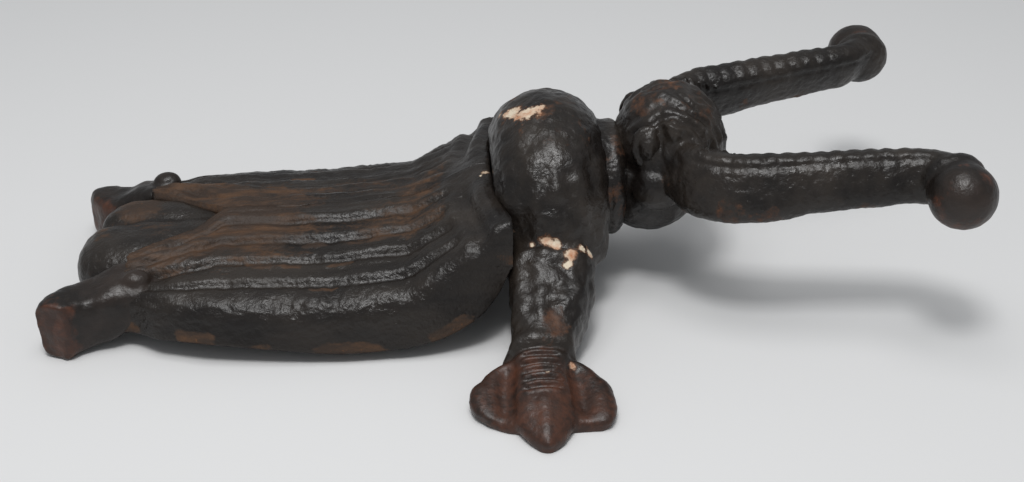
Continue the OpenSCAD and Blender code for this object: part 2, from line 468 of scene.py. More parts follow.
class Shop:
    """A material's node tree while it is put together."""

    def __init__(self, name: str) -> None:
        """Starts an empty material."""
        self.material = bpy.data.materials.new(name)
        self.material.use_nodes = True
        self.tree = self.material.node_tree
        self.tree.nodes.clear()

    def add(self, kind: str, settings: dict | None = None, **inputs: object) -> bpy.types.Node:
        """Adds a node with its settings and links.

        Args:
            kind: Node type without the ShaderNode prefix.
            settings: Attributes of the node.
            **inputs: Values or output sockets, by input name with _ for a space, or by number as i0, i1.

        Returns:
            The new node.
        """
        node = self.tree.nodes.new("ShaderNode" + kind)
        for key, value in (settings or {}).items():
            setattr(node, key, value)
        for key, value in inputs.items():
            socket = node.inputs[int(key[1:])] if key[1:].isdigit() else node.inputs[key.replace("_", " ")]
            if isinstance(value, bpy.types.NodeSocket):
                self.tree.links.new(value, socket)
            else:
                socket.default_value = value
        return node

    def grain(self, where: object, size: float, detail: float, roughness: float) -> bpy.types.NodeSocket:
        """Noise with features of a size in mm."""
        noisy = self.add("TexNoise", Vector=where, Scale=per_size(size), Detail=detail, Roughness=roughness)
        return noisy.outputs["Fac"]

    def ramp(self, value: object, low: float, high: float, **ends: float) -> bpy.types.NodeSocket:
        """Maps low to 0 and high to 1, or to the ends i3 and i4, and holds the value between them."""
        return self.add("MapRange", i0=value, i1=low, i2=high, **ends).outputs[0]


@dataclass(frozen=True)
class StovedIron:
    """Grey iron, sand cast, under old stoved black japan that has rusted through.

    Japan black is a glossy asphalt varnish. It gives a nearly black, slightly brown coat with sharp small
    glints where it lies over the grain of the sand. Where it has gone, the iron is matt and brown to orange.

    Attributes:
        name: Name of the material.
        japan: Colour of the sound varnish.
        dull: Colour of varnish that has weathered grey.
        rust_deep: Colour of old rust.
        rust_mid: Colour of rust in the open.
        rust_bright: Colour of young rust, at edges of flaked paint.
        filler: Colour of the pale filler under the paint.
        gloss: Roughness of sound varnish.
        tarnish: Roughness of rust.
        shine: Specular level of the weathered varnish.
        streak: How much the rust is drawn out along the casting, 1 for not at all.
        grit: Height in mm of the fine grit that glints in the varnish.
        rust_shift: Added to the share of rust everywhere.
        sand: Height of the sand grain in mm.
        blister: Height of the blisters in the varnish in mm.
    """

    name: str
    japan: str = "#15110f"
    dull: str = "#2e2823"
    rust_deep: str = "#3a261b"
    rust_mid: str = "#674229"
    rust_bright: str = "#a85c24"
    filler: str = "#d8cab4"
    gloss: float = 0.26
    tarnish: float = 0.60
    shine: float = 0.40
    streak: float = 1.0
    grit: float = 0.09
    rust_shift: float = 0.0
    sand: float = 0.10
    blister: float = 0.28

    def material(self) -> bpy.types.Material:
        """Builds the node tree."""
        shop = Shop(self.name)
        place = shop.add("TexCoord").outputs["Object"]
        rust = shop.add("Attribute", {"attribute_name": "rust"}).outputs["Fac"]
        chip = shop.add("Attribute", {"attribute_name": "chip"}).outputs["Fac"]

        drawn = shop.add("Mapping", Vector=place, Scale=(self.streak, 1.0, 1.0)).outputs["Vector"]
        broad = shop.grain(drawn, 17, 4.0, 0.6)
        middle = shop.grain(drawn, 5, 5.0, 0.65)
        grains = shop.grain(place, 0.8, 2.0, 0.6)
        fine = shop.grain(place, 1.5, 3.0, 0.6)

        low, high = 0.42 - self.rust_shift, 0.62 - self.rust_shift
        rust_share = self._share(shop, rust, middle, fine, low, high, 1.1)
        core = self._share(shop, chip, middle, fine, 0.50, 0.60, 1.5)
        halo = self._share(shop, chip, middle, fine, 0.40, 0.56, 1.5)

        tone = shop.ramp(broad, 0.40, 0.66)
        varnish = self._blend(shop, tone, linear(self.japan), linear(self.dull))
        bloom = shop.ramp(middle, 0.45, 0.75)
        rusty = self._blend(shop, bloom, linear(self.rust_deep), linear(self.rust_mid))
        heavy = shop.add("Math", {"operation": "MULTIPLY"}, i0=rust, i1=fine).outputs[0]
        young = shop.ramp(heavy, 0.60, 0.78)
        rusty = self._blend(shop, young, rusty, linear(self.rust_bright))
        colour = self._blend(shop, rust_share, varnish, rusty)
        colour = self._blend(shop, halo, colour, linear(self.rust_mid))
        stained = self._blend(shop, bloom, linear(self.filler), linear(self.rust_bright))
        colour = self._blend(shop, core, colour, stained)

        scuffed = shop.ramp(middle, 0.3, 0.8, i3=self.gloss, i4=self.gloss + 0.22)
        rough = shop.add("Mix", {"data_type": "FLOAT"}, i0=rust_share, i2=scuffed, i3=self.tarnish).outputs[0]
        rough = shop.add("Mix", {"data_type": "FLOAT"}, i0=halo, i2=rough, i3=0.75).outputs[0]

        cells = shop.add("TexVoronoi", {"feature": "F1"}, Vector=place, Scale=per_size(2.1))
        sunk = shop.ramp(cells.outputs["Distance"], 0.05, 0.40)
        skin = shop.add("Bump", Height=fine, Distance=self.blister * MM, Strength=0.9).outputs["Normal"]
        pitted = shop.add("Bump", Height=sunk, Distance=self.sand * MM, Strength=0.8, Normal=skin)
        gritty = shop.add("Bump", Height=grains, Distance=self.grit * MM, Normal=pitted.outputs[0])
        edge = shop.add("Bump", {"invert": True}, Height=core, Distance=0.25 * MM, Normal=gritty.outputs[0])

        shader = shop.add(
            "BsdfPrincipled", Base_Color=colour, Roughness=rough, Normal=edge.outputs["Normal"]
        )
        shader.inputs["IOR"].default_value = 1.5
        shader.inputs["Specular IOR Level"].default_value = self.shine
        shop.add("OutputMaterial", Surface=shader.outputs["BSDF"])
        return shop.material

    @staticmethod
    def _blend(shop: Shop, share: object, under: object, over: object) -> bpy.types.NodeSocket:
        """Lays one colour over another by a share."""
        return shop.add("Mix", {"data_type": "RGBA"}, i0=share, i6=under, i7=over).outputs[2]

    @staticmethod
    def _share(
        shop: Shop, cover: object, middle: object, fine: object, low: float, high: float, fray: float
    ) -> bpy.types.NodeSocket:
        """Turns a smooth cover into a share with a frayed edge.

        Args:
            shop: The tree.
            cover: Smooth cover from the shape.
            middle: Noise of some millimetres.
            fine: Noise of the sand grain.
            low: Cover at which the share starts.
            high: Cover at which it is whole.
            fray: How far the noise moves the edge.

        Returns:
            A share from 0 to 1.
        """
        mixed = shop.add("Mix", {"data_type": "FLOAT"}, i0=0.35, i2=middle, i3=fine).outputs[0]
        centred = shop.add("Math", {"operation": "SUBTRACT"}, i0=mixed, i1=0.5).outputs[0]
        moved = shop.add("Math", {"operation": "MULTIPLY_ADD"}, i0=centred, i1=fray, i2=cover).outputs[0]
        return shop.ramp(moved, low, high)


@dataclass(frozen=True)
class MattBoard:
    """Matt painted board for the floor of the studio, nearly white."""

    name: str = "matt_board"
    paint: str = "#dcdcdc"

    def material(self) -> bpy.types.Material:
        """Builds the node tree."""
        shop = Shop(self.name)
        shader = shop.add("BsdfPrincipled", Base_Color=linear(self.paint), Roughness=0.9)
        shader.inputs["Specular IOR Level"].default_value = 0.1
        shop.add("OutputMaterial", Surface=shader.outputs["BSDF"])
        return shop.material


JAPANNED = StovedIron("stoved_black_cast_iron")
WING_JAPANNED = StovedIron(
    "ribbed_black_cast_iron", rust_deep="#35281f", rust_mid="#5c4029", rust_bright="#8f5a2a",
    blister=0.30, gloss=0.27, streak=0.32, grit=0.14,
)
RUSTED = StovedIron(
    "rusted_cast_iron", japan="#17120f", dull="#302722", rust_deep="#36231b", rust_mid="#5a3626",
    gloss=0.30, tarnish=0.42, rust_shift=0.04, blister=0.14, sand=0.07,
)


# ---- pieces ----


class Casting:
    """Turns finished surfaces into pieces that stand for CAD nodes."""

    def __init__(self) -> None:
        """Makes the finishes."""
        self.finishes = {
            Slot.BLACK: JAPANNED.material(),
            Slot.WING: WING_JAPANNED.material(),
            Slot.RUSTY: RUSTED.material(),
        }
        self.pieces: list[bpy.types.Object] = []

    def piece(self, form: bmesh.types.BMesh, node: str, slot: Slot, wear: Wear) -> None:
        """Makes the piece for one node, with its place in its mesh.

        Args:
            form: Its closed surface in mm, which is freed.
            node: The CAD node it stands for.
            slot: Its finish.
            wear: How it has weathered.
        """
        wear.mark(form)
        for face in form.faces:
            face.smooth = True
        bmesh.ops.scale(form, vec=(MM, MM, MM), verts=form.verts)
        mesh = as_mesh(node + "_casting", form)
        mesh.materials.append(self.finishes[slot])
        piece = placed(node + "_casting", mesh)
        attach(piece, "root")
        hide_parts(node)
        self.pieces.append(piece)
        LOG.info("%s: %d faces, %s", piece.name, len(mesh.polygons), slot.value)


@dataclass
class WingCases:
    """The two ribbed wing cases, hollow underneath.

    Attributes:
        wall: Thickness of the iron.
        cells_along: Mesh cells from front to tip.
        cells_across: Mesh cells from the middle line to the lower rim.
        fall: Drop of the top per mm towards the side.
        lip_start: Where the front lip starts to rise.
        lip_rise: How far the lip stands above the rest at the middle line.
        lip_spread: How much more it stands up per mm towards the shoulders.
        bead_gap: Distance of the rounded bead behind the front edge.
        rib_edges: Grooves between ribs, as shares of the width of the top.
        groove_depth: Depth of the grooves.
        crest_round: How far the rounding of the crest reaches on either side.
        front_share: Share of the cells that run down the front wall, and down behind the tip.
        shoulder_reach: How far the shoulders reach in front of the middle of the front edge.
        front_foot: Height of the lower edge of the front wall at the middle line.
    """

    wall: float = 5.0
    cells_along: int = 150
    cells_across: int = 88
    fall: float = 0.2217
    lip_start: float = -27.5
    lip_rise: float = 5.8
    lip_spread: float = 0.17
    bead_gap: float = 4.6
    rib_edges: tuple[float, ...] = (0.0, 0.19, 0.38, 0.58, 0.80)
    groove_depth: float = 1.3
    crest_round: float = 7.0
    front_share: float = 0.045
    shoulder_reach: float = 4.5
    front_foot: float = 20.0

    def __post_init__(self) -> None:
        """Takes the outline from the box of the wing's node."""
        box = NodeBox.of("left_wing")
        self.front, self.tip = box.high.x, box.low.x
        half = box.high.y
        self.ridge = Course(((-112, 27.5), (-92, 28.0), (-62, 28.0), (-32, 30.0), (-14, 33.0), (-2, 35.5)))
        self.crest = Course(
            ((-112, 36), (-101, 40), (-81, 43.8), (-45, 45.5), (-29, 44.5), (-19, 42), (-2, 37.5))
        )
        self.rim = Course(
            ((-112, 37), (-100, 43), (-80, 47.5), (-50, half), (-25, half - 0.8), (-10, 45), (-2, 40))
        )
        self.rim_z = Course(
            (
                (-112, 6.0), (-90, 7.0), (-74, 6.0), (-46, 3.6), (-31, 4.2), (-20, 6.4), (-11, 12), (-5, 20),
                (-2, 26),
            )
        )
        self.inner = Course(((-112, 20), (-108, 17.7), (-100, 12.7), (-90, 5.0), (-83, 0)))

    def top(self, x: float, y: float) -> float:
        """Height of the top before ribs, with the lip that sweeps up to the front edge."""
        lifted = clamp((x - self.lip_start) / (self.front - self.lip_start)) ** 1.05
        return self.ridge.at(x) - self.fall * y + lifted * (self.lip_rise + self.lip_spread * y)

    def section(self, x: float, share: float) -> Vector:
        """Point of the outer surface of the left wing.

        Args:
            x: Place along the casting.
            share: 0 at the middle line, 1 at the lower rim.

        Returns:
            The point.
        """
        inner, crest, rim = self.inner.at(x), self.crest.at(x), self.rim.at(x)
        a = Vector((x, inner, self.top(x, inner)))
        b = Vector((x, crest, self.top(x, crest)))
        c = Vector((x, rim, self.rim_z.at(x)))
        top_side, wall_side = (a - b), (c - b)
        rounding = self.crest_round * (1 - 0.65 * ease(-18, -5, x))
        most = 0.45
        reach = min(rounding, most * top_side.length, most * wall_side.length)
        span = top_side.length + wall_side.length
        along = share * span
        bend = (along - (top_side.length - reach)) / (2 * reach)
        if bend <= 0:
            return a.lerp(b, along / top_side.length)
        if bend >= 1:
            return b.lerp(c, (along - top_side.length) / wall_side.length)
        start, end = b + top_side.normalized() * reach, b + wall_side.normalized() * reach
        return start.lerp(b, bend).lerp(b.lerp(end, bend), bend)

    def surface(self, along: float, share: float) -> Vector:
        """Point of the sheet, whose first cells run down the front and whose last run down behind the tip."""
        step = self.front_share
        inside = clamp((along - step) / (1 - 2 * step))
        x = self.front + (self.tip - self.front) * inside
        place = self.section(x, share)
        reach = self.shoulder_reach * ease(14, 36, place.y) * ease(self.front - 22, self.front, x)
        place.x += reach
        round_off = ease(self.front - 5.0, self.front + 0.5, x)
        place.z -= 1.6 * round_off * ease(8, 26, place.z) * ease(38, 24, place.y)
        if along < step:
            foot = min(place.z, self.front_foot + 6 * ease(25, 38, place.y))
            place.z = foot + (place.z - foot) * along / step
        elif along > 1 - step:
            foot = min(place.z, self.rim_z.at(self.tip))
            place.z = foot + (place.z - foot) * (1 - along) / step
        return place

    def across(self, place: Vector) -> float:
        """Share of the way from the inner edge of the top to the crest, over 1 on the outer wall."""
        inner, crest = self.inner.at(place.x), self.crest.at(place.x)
        return (abs(place.y) - inner) / (crest - inner)

    def relief(self, place: Vector, normal: Vector) -> float:
        """Ribs, fibres, wrinkles and the front bead of a wing."""
        share, x = self.across(place), place.x
        side = 1 if place.y >= 0 else -1
        wide = max(self.crest.at(x) - self.inner.at(x), 6)
        on_top = ease(1.08, 0.96, share) * ease(0.2, 0.6, normal.z)
        edge_gap = self.front + self.shoulder_reach * ease(14, 36, abs(place.y)) - x
        ribbed = ease(11, 17, edge_gap) * on_top
        height = 0.0
        for k, edge in enumerate(self.rib_edges):
            wander = 0.018 * lumps(Vector((x, side * 9 + k * 5, 0)), 15)
            off = (share - edge - wander) * wide
            depth = self.groove_depth * (0.8 + 0.3 * lumps(Vector((x, k * 11, side)), 21))
            height -= depth * hump(off, 0.4, 1.2)
            height += 0.55 * hump(off, -2.4, 2.3) - 0.35 * hump(off, 3.4, 2.4)
        fibres = noise.noise(Vector((x / 24, share * wide / 1.25, side * 4.0)))
        height += 0.42 * fibres * ease(0.85, 0.5, share)
        hatch = noise.noise(Vector(((x + 0.35 * abs(place.y)) / 1.5, place.y / 5.0, side * 3.0)))
        hatch_area = ease(0.34, 0.55, share) * ease(-88, -62, x)
        height += 0.50 * hatch * hatch_area * (0.6 + 0.6 * lumps(place, 11, 5.0))
        height *= ribbed
        outer = ease(6, 18, abs(place.y)) * on_top
        beads = 1.5 * hump(edge_gap, self.bead_gap, 2.8) + 0.9 * hump(edge_gap, self.bead_gap + 8.5, 2.2)
        bead = beads * outer
        hollow = -1.5 * hump(edge_gap, self.bead_gap + 4.6, 2.4) * outer
        bulges = 0.65 * lumps(place, 8.0, 1.7) * on_top + 0.22 * lumps(place, 2.4, 4.2) * (0.3 + 0.7 * on_top)
        crest_beads = 0.35 * lumps(place, 1.7, 8.1) * hump(share, 1.0, 0.06)
        lower = 0.25 * lumps(place, 9.0, 2.2) * (1 - on_top)
        leaf = -1.9 * hump(x, -94, 7) * hump(share, 0.10, 0.14)
        leaf += 1.2 * hump(x, -95, 9) * hump(share, 0.34, 0.12)
        fold = 1.1 * hump(x, -106, 5) * hump(share, 0.30, 0.2)
        fold -= 1.3 * hump(x, -103, 6) * hump(share, 0.66, 0.16)
        return height + bead + hollow + bulges + crest_beads + lower + (leaf + fold) * on_top

    def rust(self, place: Vector, normal: Vector) -> float:
        """Rust on the inner ribs, in the grooves and along the lower rim."""
        share, x = self.across(place), place.x
        drift = 0.16 * lumps(place, 18, 3.0)
        inner = 0.46 * ease(0.80, 0.30, share) * ease(-6, -20, x)
        rear = 0.22 * ease(-45, -85, x) * ease(1.02, 0.75, share)
        above_rim = place.z - self.rim_z.at(x)
        low = 0.95 * ease(9.5, 4.5, above_rim + 3.5) * ease(-0.25, 0.2, lumps(place, 14, 6.0))
        under = 0.62 * ease(0.15, -0.2, normal.z)
        groove = 0.0
        for edge in self.rib_edges[2:]:
            groove = max(groove, hump((share - edge) * 40, 1.6, 1.0))
        groove *= 0.75 * ease(-28, -42, x) * ease(-95, -65, x) * ease(-0.1, 0.3, lumps(place, 8, 9.0))
        return max(inner + rear + groove + drift, low, under if share < 1.0 else 0.0)

    def shell(self, side: int) -> bmesh.types.BMesh:
        """Outer sheet with its relief and plain inner sheet, joined round their edges."""
        form = bmesh.new()
        bmesh.ops.create_grid(form, x_segments=self.cells_along, y_segments=self.cells_across, size=0.5)
        for vert in form.verts:
            vert.co = self.surface(vert.co.x + 0.5, vert.co.y + 0.5)
        bmesh.ops.recalc_face_normals(form, faces=form.faces)
        form.normal_update()
        if sum(face.normal.z * face.calc_area() for face in form.faces) < 0:
            bmesh.ops.reverse_faces(form, faces=form.faces)
        form.normal_update()
        inside = form.copy()
        for vert in inside.verts:
            vert.co -= vert.normal * self.wall
        bmesh.ops.reverse_faces(inside, faces=inside.faces)
        if side < 0:
            form, inside = other_side(form), other_side(inside)
        relax(form, 1)
        model_relief(form, self.relief)
        whole = joined((form, inside))
        bmesh.ops.bridge_loops(whole, edges=[edge for edge in whole.edges if edge.is_boundary])
        bmesh.ops.recalc_face_normals(whole, faces=whole.faces)
        return whole

    def build(self, casting: Casting) -> None:
        """Makes the two wings."""
        chips = (
            Chip(Vector((-4.0, -5.5, 40.5)), 1.5),
            Chip(Vector((-3.0, 3.0, 40.8)), 0.9),
            Chip(Vector((-5.5, -8.0, 39.5)), 0.8),
        )
        for name, side in SIDES.items():
            casting.piece(self.shell(side), name + "_wing", Slot.WING, Wear(self.rust, chips))


@dataclass
class Tail:
    """The end of the abdomen between the wing tips, and the two rear feet with their flat facets.

    Attributes:
        grain: Spacing of the surface.
        lobe_square: Squareness of the lobe's section, 2 for an ellipse.
        foot_square: Squareness of a foot's section.
        passes: How many times the surfaces are relaxed.
    """

    grain: float = 0.7
    lobe_square: float = 2.4
    foot_square: float = 4.0
    passes: int = 4

    def lobe(self, side: int) -> bmesh.types.BMesh:
        """One half of the lobe, which bulges beside the notch and turns down to the floor.

        Args:
            side: 1 for the left half, -1 for the larger right half.

        Returns:
            Its closed surface.
        """
        box = NodeBox.of("tail_lobe")
        reach, broad, apart = (1.0, 1.0, -6.5) if side < 0 else (0.93, 0.76, 10.5)
        rings = []
        for share, out, half, low, high in (
            (0.0, 0.25, 5.0, 15.0, 23.4), (0.20, 0.55, 8.5, 10.0, 23.2), (0.42, 0.85, 12.0, 5.0, 23.0),
            (0.64, 1.0, 14.4, 2.6, 22.8), (0.78, 1.0, 14.0, 1.6, 22.2), (0.88, 1.0, 12.6, 1.6, 21.0),
            (0.95, 1.0, 10.2, 2.4, 19.0), (0.985, 1.0, 7.6, 4.0, 16.8), (1.0, 1.0, 4.4, 6.4, 14.2),
        ):
            x = box.high.x + (box.low.x - box.high.x) * share * reach
            across = Vector((0, half * broad, 0))
            rings.append(upright_ring(x, apart * out, across, low, high, square=self.lobe_square))
        return drawn_form(rings)

    def lobe_relief(self, place: Vector, normal: Vector) -> float:
        """Soft folds and a step round the lower edge."""
        fold = -0.7 * hump(place.y, 4.5, 2.4) * ease(-104, -116, place.x)
        step = -0.6 * hump(place.z, 7.5, 1.4) * ease(-112, -124, place.x)
        return fold + step + 0.5 * lumps(place, 7.5, 5.0) + 0.12 * lumps(place, 2.2, 1.0)

    def foot(self) -> bmesh.types.BMesh:
        """Left rear foot: a neck from the wing tip that turns outwards to a flat facet."""
        box = NodeBox.of("left_rear_foot")
        rings = []
        for ahead, y, heading, half, low, high, fall in (
            (13, 28.0, 178, 6.6, 12.0, 18.0, 0.22), (6, 28.4, 178, 7.8, 9.0, 20.2, 0.22),
            (0, 29.0, 176, 8.3, 5.8, 21.0, 0.21), (-6, 30.8, 170, 8.0, 2.8, 20.0, 0.16),
            (-11, 32.8, 160, 7.6, 1.0, 18.8, 0.08), (-15.5, 35.2, 144, 6.8, 0.2, 18.6, 0.0),
            (-18.2, 38.2, 124, 6.0, 0.0, 19.0, 0.0), (-19.1, 40.4, 114, 5.6, 0.0, 18.9, 0.0),
            (-19.6, 41.6, 112, 4.8, 1.0, 18.0, 0.0),
        ):
            angle = math.radians(heading)
            sideways = Vector((-math.sin(angle), math.cos(angle), fall))
            rings.append(upright_ring(box.high.x + ahead, y, sideways * half, low, high, self.foot_square))
        return drawn_form(rings)

    def foot_relief(self, place: Vector, normal: Vector) -> float:
        """Uneven skin, and a slightly dished facet with pits."""
        facet = ease(0.75, 0.95, abs(normal.y)) * ease(-124, -128, place.x)
        neck = -0.6 * hump(place.x, -121, 3.0)
        return neck + 0.45 * lumps(place, 6.0, 9.0) + 0.18 * lumps(place, 2.0, 2.0) - 0.35 * facet

    def worn_foot(self, foot: bmesh.types.BMesh) -> None:
        """Sets the left foot a little lower and closer in than the right."""
        for vert in foot.verts:
            share = ease(-116, -130, vert.co.x)
            vert.co.y -= 3.0 * share
            vert.co.z *= 1 - 0.14 * share

    def knob(self, side: int) -> bmesh.types.BMesh:
        """Knob at the tip of a wing, hardly proud of it on the right."""
        sunk = 0.0 if side > 0 else 1.7
        return ball_form(Vector((-108.5, 30.0, 20.9 - sunk)), Vector((4.6, 3.8, 3.4)))

    def lobe_rust(self, place: Vector, normal: Vector) -> float:
        """Rust in a broad patch on the left half of the lobe."""
        patch = 0.55 * hump(place.y, 11, 9) * hump(place.x, -113, 9)
        return 0.30 + patch + 0.22 * lumps(place, 11, 2.0)

    def foot_rust(self, place: Vector, normal: Vector) -> float:
        """The facet is bare and brown, the neck still black."""
        facet = 0.42 * ease(-122, -127, place.x)
        back = 0.22 * ease(-120, -130, place.x)
        return 0.12 + facet * ease(0.2, 0.8, abs(normal.y)) + back + 0.18 * lumps(place, 6, 2.0)

    def build(self, casting: Casting) -> None:
        """Makes the lobe and the feet."""
        lobe = run_together([self.lobe(side) for side in SIDES.values()], self.grain, self.passes)
        model_relief(lobe, self.lobe_relief)
        casting.piece(lobe, "tail_lobe", Slot.WING, Wear(self.lobe_rust))
        for name, side in SIDES.items():
            foot = run_together(on_side((self.foot(), self.knob(side)), side), self.grain, self.passes)
            if side > 0:
                self.worn_foot(foot)
            model_relief(foot, self.foot_relief)
            stand_on_floor(foot)
            casting.piece(foot, name + "_rear_foot", Slot.RUSTY, Wear(self.foot_rust))


@dataclass
class Thorax:
    """Domed thorax, hollow underneath, with the front legs and their three-lobed feet.

    Attributes:
        grain: Spacing of the surface.
        wall: Thickness of the dome.
        axis_z: Height of the axis on which the dome is turned.
        bulge: Radius of the bulge from front to back.
        leg_split: Distance from the middle where a leg starts.
        rung_pitch: Spacing of the rungs on the middle toe.
        rungs: How many rungs a middle toe has.
    """

    grain: float = 0.62
    wall: float = 6.0
    axis_z: float = 26.0
    bulge: float = 18.2
    leg_split: float = 32.4
    rung_pitch: float = 2.8
    rungs: int = 5

    def __post_init__(self) -> None:
        """Takes the places from the nodes' boxes."""
        self.dome_box = NodeBox.of("thorax")
        self.leg_box = NodeBox.of("left_front_leg")
        self.foot_box = NodeBox.of("left_front_foot")
        self.radius = self.dome_box.high.z - self.axis_z + 0.4
        self.toe_x = self.foot_box.middle.x
        self.ankle_y = self.foot_box.low.y

    def dome(self) -> bmesh.types.BMesh:
        """Dome with its end walls, open below."""
        low, high = self.dome_box.low.x, self.dome_box.high.x
        centre = (low + high) / 2
        profile = [(low, 0.0)]
        steps = 40
        for i in range(steps + 1):
            x = low + (high - low) * i / steps
            profile.append((x, self.radius - self.bulge + math.sqrt(self.bulge**2 - (x - centre) ** 2)))
        profile.append((high, 0.0))
        inside = turned_form(profile, self.axis_z)
        rim_z = self.dome_box.low.z
        cut_open(inside, Vector((0, 0, rim_z)), Vector((0, 0, -1)))
        outside = inside.copy()
        for vert in inside.verts:
            vert.co.x = centre + (vert.co.x - centre) * (1 - self.wall / (high - centre))
            rod = vert.co.yz
            reach = Vector((rod.x, rod.y - self.axis_z))
            if reach.length > 10 * FUSE:
                shorter = reach * max(0.0, 1 - self.wall / reach.length)
                vert.co.y, vert.co.z = shorter.x, self.axis_z + shorter.y
            if vert.co.z <= rim_z + 1:
                vert.co.z = rim_z
        bmesh.ops.reverse_faces(inside, faces=inside.faces)
        whole = joined((outside, inside))
        bmesh.ops.bridge_loops(whole, edges=[edge for edge in whole.edges if edge.is_boundary])
        return whole

    def leg(self) -> bmesh.types.BMesh:
        """Left front leg: broad where it leaves the dome, narrow and low at the ankle."""
        rings = []
        for y, x, half, low, high in (
            (22.0, 14.0, 14.5, 14.0, 36.0), (28.0, 14.2, 13.4, 11.0, 33.0), (34.0, 14.2, 12.6, 8.0, 30.2),
            (40.0, 14.0, 12.4, 5.5, 27.0), (47.0, 12.8, 11.4, 3.4, 22.8), (54.0, 10.8, 9.8, 1.9, 18.2),
            (59.0, 9.4, 8.9, 1.0, 15.2), (63.0, 9.0, 8.8, 0.6, 13.4), (67.0, 8.8, 8.4, 0.2, 11.6),
        ):
            rings.append(upright_ring(x, y, Vector((half, 0, 0)), low, high, square=2.8))
        return drawn_form(rings)

    def toes(self) -> list[bmesh.types.BMesh]:
        """The middle toe of the left foot, and the web that spreads into a lobe on either side."""
        x, y = self.toe_x, self.ankle_y
        below = -1.0
        middle = [
            upright_ring(x, y + out, Vector((half, 0, 0)), below, top, square=2.2)
            for out, half, top in (
                (-4, 8.8, 12.6), (3, 8.6, 12.0), (9, 8.8, 11.0), (15, 9.0, 9.6), (21, 8.8, 7.6),
                (25, 7.2, 6.2), (28.5, 4.9, 4.8), (30.6, 2.8, 3.6), (31.6, 1.0, 2.6),
            )
        ]
        web = [
            upright_ring(
                (back + front) / 2, y + out, Vector(((front - back) / 2, 0, 0)), below, top, square=3.2
            )
            for out, back, front, top in (
                (-4, 1.0, 17.0, 10.0), (0, -2.6, 20.0, 10.4), (4, -7.4, 24.2, 9.2), (8, -11.0, 27.6, 7.8),
                (13, -12.0, 28.6, 6.4), (17, -10.4, 28.8, 5.4), (20, -7.0, 28.0, 4.8),
                (22.2, -3.0, 26.4, 3.8), (23.2, 1.0, 24.0, 2.6),
            )
        ]
        return [drawn_form(middle), drawn_form(web, sides=72)]

    def relief(self, place: Vector, normal: Vector) -> float:
        """Folds of the dome, creases of the legs and rungs of the toes."""
        y = abs(place.y)
        if y < self.leg_split + 2:
            return self._dome_relief(place, normal) * ease(self.leg_split + 2, self.leg_split - 3, y) + (
                self._leg_relief(place, normal) * ease(self.leg_split - 3, self.leg_split + 2, y)
            )
        return self._leg_relief(place, normal)

    def _dome_relief(self, place: Vector, normal: Vector) -> float:
        """Soft upright folds like drapery on the sides, lumps on top."""
        if place.z < self.axis_z + 1 and abs(normal.y) < 0.2 and abs(place.y) < 24:
            return 0.1 * lumps(place, 4)
        side = 1 if place.y > 0 else -1
        low = ease(54, 46, place.z) * ease(28, 34, place.z)
        bend = 2.2 * math.sin(place.z / 6.5 + side) + 1.8 * lumps(place, 9, 3.3)
        fold = math.cos(math.tau * (place.x - 15.6 + bend * 0.5) / 7.2)
        folds = 0.6 * fold * low * ease(0.1, 0.4, abs(normal.y)) * (0.7 + 0.5 * lumps(place, 12, 4.0))
        lobes = 0.55 * ease(0.55, 0.8, normal.z) * lumps(place, 11, 6.0)
        return folds + lobes + 0.55 * lumps(place, 6.0, 0.5) + 0.28 * lumps(place, 2.4, 7.0)

    def _leg_relief(self, place: Vector, normal: Vector) -> float:
        """Lengthwise facets, blisters, the ankle crease and the toes' rungs and dished lobes."""
        y = abs(place.y)
        above = ease(0.05, 0.4, normal.z)
        from_axis = place.x - self.toe_x - 3.4 * ease(60, 40, y)
        facets = 0.3 * math.cos(math.tau * from_axis / 9.5) * above * ease(64, 56, y)
        root_y = self.leg_split - 0.6 + 0.8 * lumps(place, 6, 1.0)
        root = -1.0 * hump(y, root_y, 1.5) * ease(-0.3, 0.3, normal.z)
        knee = 0.9 * hump(y, self.leg_split + 4.5, 3.2) * above
        toe = y - self.ankle_y
        blister = 0.62 * lumps(place, 3.4, 2.7) * ease(62, 50, y)
        blister += 0.5 * lumps(place, 7.5, 3.1) * ease(60, 50, y)
        crease = -0.9 * hump(y, self.ankle_y + 0.6, 1.1) + 0.8 * hump(y, self.ankle_y - 2.4, 1.9)
        crease *= ease(-0.6, 0.1, normal.z)
        run = self.rungs * self.rung_pitch
        off = abs(place.x - self.toe_x)
        window = ease(0.8, 2.2, toe) * ease(run + 2.4, run + 0.6, toe) * ease(6.0, 4.6, off)
        rungs = 0.7 * math.cos(math.tau * (toe - 1.6) / self.rung_pitch) * window * above
        dish = -1.5 * hump(off, 9.6 + 0.08 * toe, 2.4) * ease(2, 6, toe) * ease(24, 18, toe) * above
        edge = 0.6 * hump(off, 17.5, 2.5) * ease(6, 10, toe) * above
        ridge = 0.7 * hump(off, 0, 2.2) * ease(run, run + 5, toe) * above
        skin = 0.25 * lumps(place, 5.0, 1.2) + 0.10 * lumps(place, 1.7, 6.0)
        return facets + root + knee + blister + crease + rungs + dish + edge + ridge + skin

    def rust(self, place: Vector, normal: Vector) -> float:
        """Hardly any rust on the dome, more on the legs' lower ends."""
        y = abs(place.y)
        top = 0.16 * ease(48, 56, place.z)
        drift = 0.25 * lumps(place, 12, 8.0)
        ankle = 0.55 * hump(y, 56, 5.0) * hump(place.x, 13, 4.5) * ease(0.2, 0.6, normal.z)
        toe = 0.36 * ease(self.ankle_y - 1, self.ankle_y + 3, y)
        tip = 0.16 * ease(self.ankle_y + 16, self.ankle_y + 30, y)
        patch = -0.5 * hump(place.x, self.toe_x + 8.5, 3.5) * hump(y, self.ankle_y + 2.5, 2.5)
        return 0.20 + top + drift + ankle + toe + tip + patch + (0.35 if place.z < 18.2 and y < 30 else 0.0)

